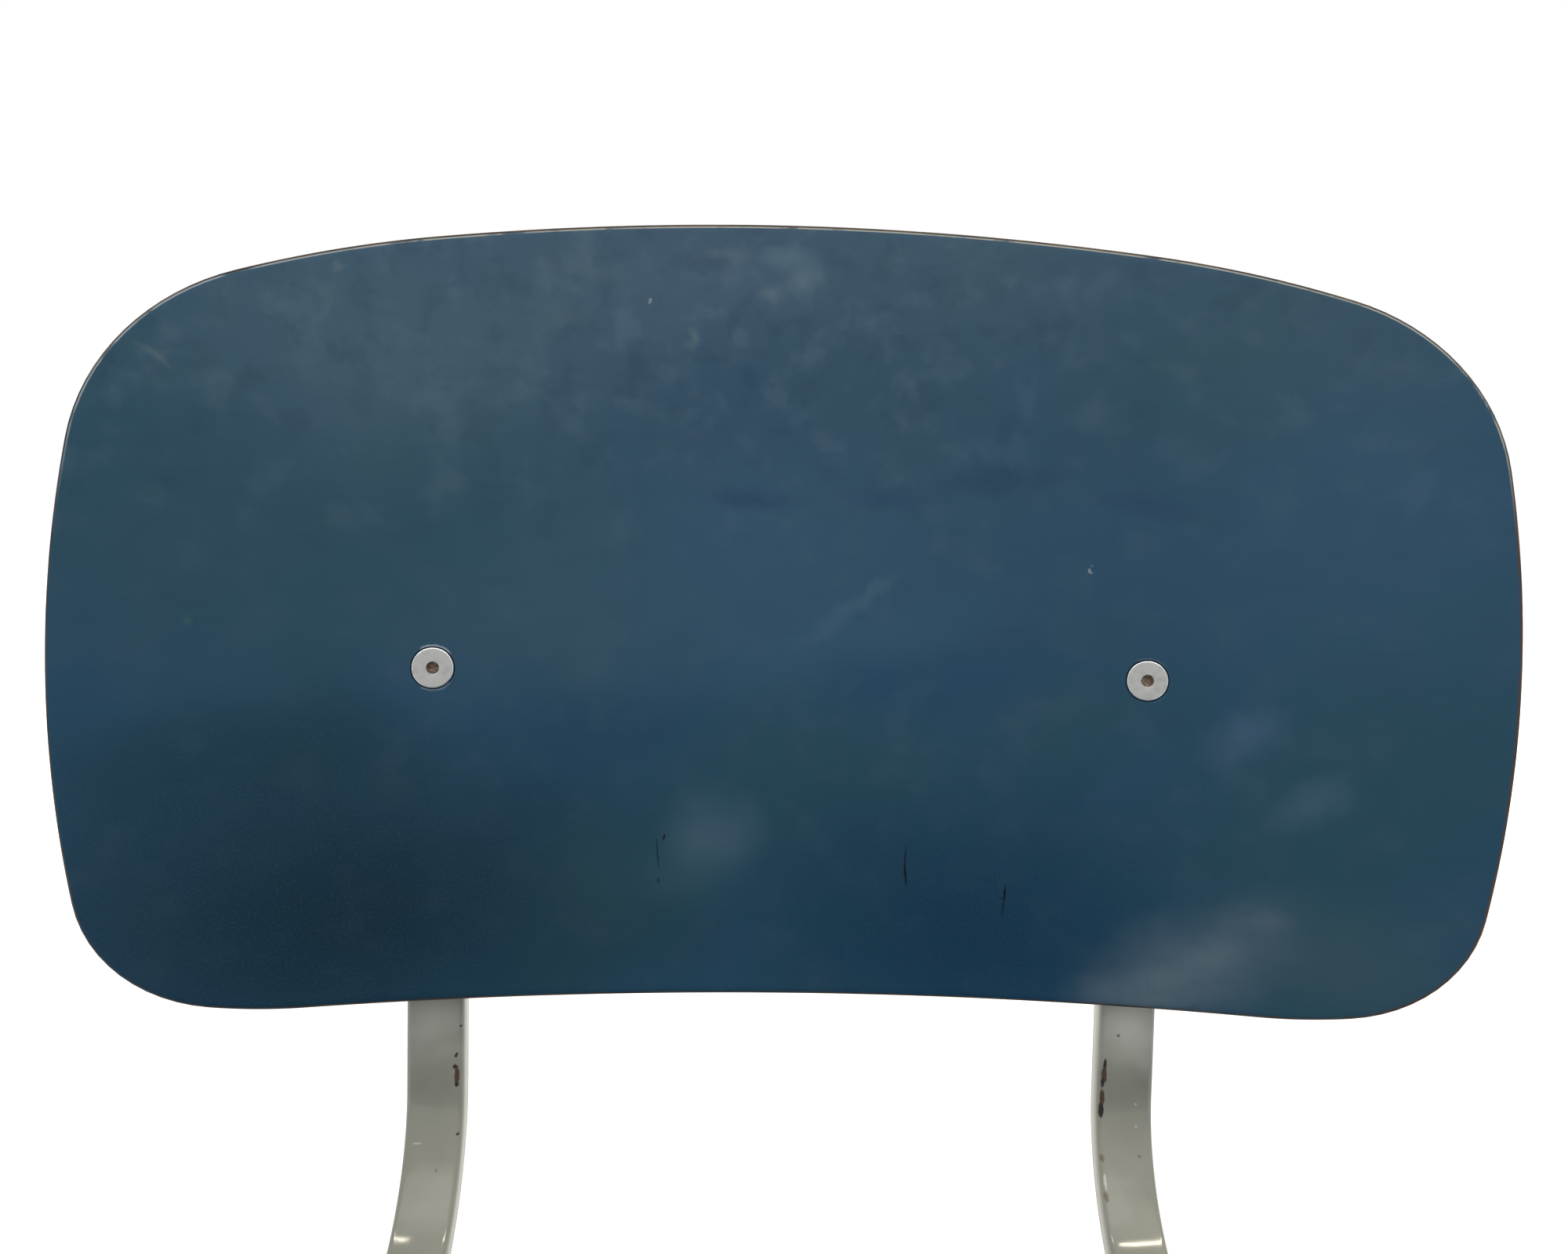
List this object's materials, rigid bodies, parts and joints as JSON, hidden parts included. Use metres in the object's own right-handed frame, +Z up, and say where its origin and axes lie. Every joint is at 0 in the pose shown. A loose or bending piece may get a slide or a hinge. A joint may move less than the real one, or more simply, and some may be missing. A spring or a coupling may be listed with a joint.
{
  "type": "school chair",
  "caption": "Stacking school chair: curved blue lacquered backrest and seat boards riveted to folded sheet-steel uprights, with splayed compass legs and black foot caps.",
  "frame": {"origin": "middle of the chair's box at floor level, so z = 0 is the floor", "axes": "+Z up, the sitter faces -Y, +X to the right of the picture, which is the sitter's left"},
  "size_m": [0.4544, 0.5018, 0.7238],
  "materials": {
    "blue_lacquered_board": "moulded plywood under worn dark blue satin lacquer",
    "grey_frame_enamel": "pale grey-beige satin enamel, chipped at the bends",
    "satin_rivet": "dull plated rivet, slightly scratched",
    "zinc_washer": "dull zinc plate",
    "black_spacer_plastic": "moulded matt black plastic",
    "black_foot_plastic": "moulded matt black plastic, scuffed at the floor"
  },
  "bodies": {
    "root": {"backrest_board": "blue_lacquered_board", "seat_board": "blue_lacquered_board", "left_upright": "grey_frame_enamel", "right_upright": "grey_frame_enamel", "front_crossbar": "grey_frame_enamel", "rear_crossbar": "grey_frame_enamel", "left_front_leg": "grey_frame_enamel", "left_rear_leg": "grey_frame_enamel", "right_front_leg": "grey_frame_enamel", "right_rear_leg": "grey_frame_enamel", "left_leg_gusset": "grey_frame_enamel", "right_leg_gusset": "grey_frame_enamel", "left_gusset_rivets": "satin_rivet", "right_gusset_rivets": "satin_rivet", "left_front_foot_cap": "black_foot_plastic", "left_rear_foot_cap": "black_foot_plastic", "right_front_foot_cap": "black_foot_plastic", "right_rear_foot_cap": "black_foot_plastic", "left_back_rivet": "satin_rivet", "right_back_rivet": "satin_rivet", "left_back_spacer": "black_spacer_plastic", "right_back_spacer": "black_spacer_plastic", "left_back_washer": "zinc_washer", "right_back_washer": "zinc_washer", "left_front_seat_rivet": "satin_rivet", "left_rear_seat_rivet": "satin_rivet", "right_front_seat_rivet": "satin_rivet", "right_rear_seat_rivet": "satin_rivet", "left_front_seat_washer": "zinc_washer", "left_rear_seat_washer": "zinc_washer", "right_front_seat_washer": "zinc_washer", "right_rear_seat_washer": "zinc_washer"}
  },
  "joints": []
}
